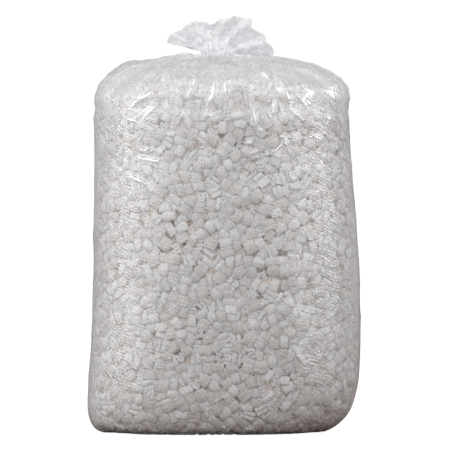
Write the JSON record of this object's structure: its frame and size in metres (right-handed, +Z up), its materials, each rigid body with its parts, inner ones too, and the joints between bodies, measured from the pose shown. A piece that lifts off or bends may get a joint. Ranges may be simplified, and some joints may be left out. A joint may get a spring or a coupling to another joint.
{
  "type": "bag of packing peanuts",
  "caption": "Tall clear film bag standing full of white S-shaped foam packing peanuts, its mouth gathered and tied into a ruffled tuft.",
  "frame": {"origin": "on the floor, under the middle of the standing bag's overall box", "axes": "+Z up from the foot to the tied tuft, +X to the bag's right as seen from the front, and the front faces -Y"},
  "size_m": [0.8464, 0.69, 1.3068],
  "materials": {
    "clear_film": "clear thin polyethylene film, slightly hazy, glossy on its creases",
    "coated_wire": "off-white plastic coated wire",
    "white_foam": "white expanded foam, matte, finely pitted skin"
  },
  "bodies": {
    "root": {"film_bag": "clear_film", "neck_tie": "coated_wire", "peanut_fill": "white_foam", "peanut_01": "white_foam", "peanut_02": "white_foam", "peanut_03": "white_foam", "peanut_04": "white_foam", "peanut_05": "white_foam", "peanut_06": "white_foam", "peanut_07": "white_foam", "peanut_08": "white_foam", "peanut_09": "white_foam", "peanut_10": "white_foam", "peanut_11": "white_foam", "peanut_12": "white_foam", "peanut_13": "white_foam", "peanut_14": "white_foam", "peanut_15": "white_foam", "peanut_16": "white_foam", "peanut_17": "white_foam", "peanut_18": "white_foam", "peanut_19": "white_foam", "peanut_20": "white_foam", "peanut_21": "white_foam", "peanut_22": "white_foam", "peanut_23": "white_foam", "peanut_24": "white_foam", "peanut_25": "white_foam", "peanut_26": "white_foam", "peanut_27": "white_foam", "peanut_28": "white_foam", "peanut_29": "white_foam", "peanut_30": "white_foam", "peanut_31": "white_foam", "peanut_32": "white_foam", "peanut_33": "white_foam", "peanut_34": "white_foam", "peanut_35": "white_foam", "peanut_36": "white_foam", "peanut_37": "white_foam", "peanut_38": "white_foam", "peanut_39": "white_foam", "peanut_40": "white_foam"}
  },
  "joints": []
}
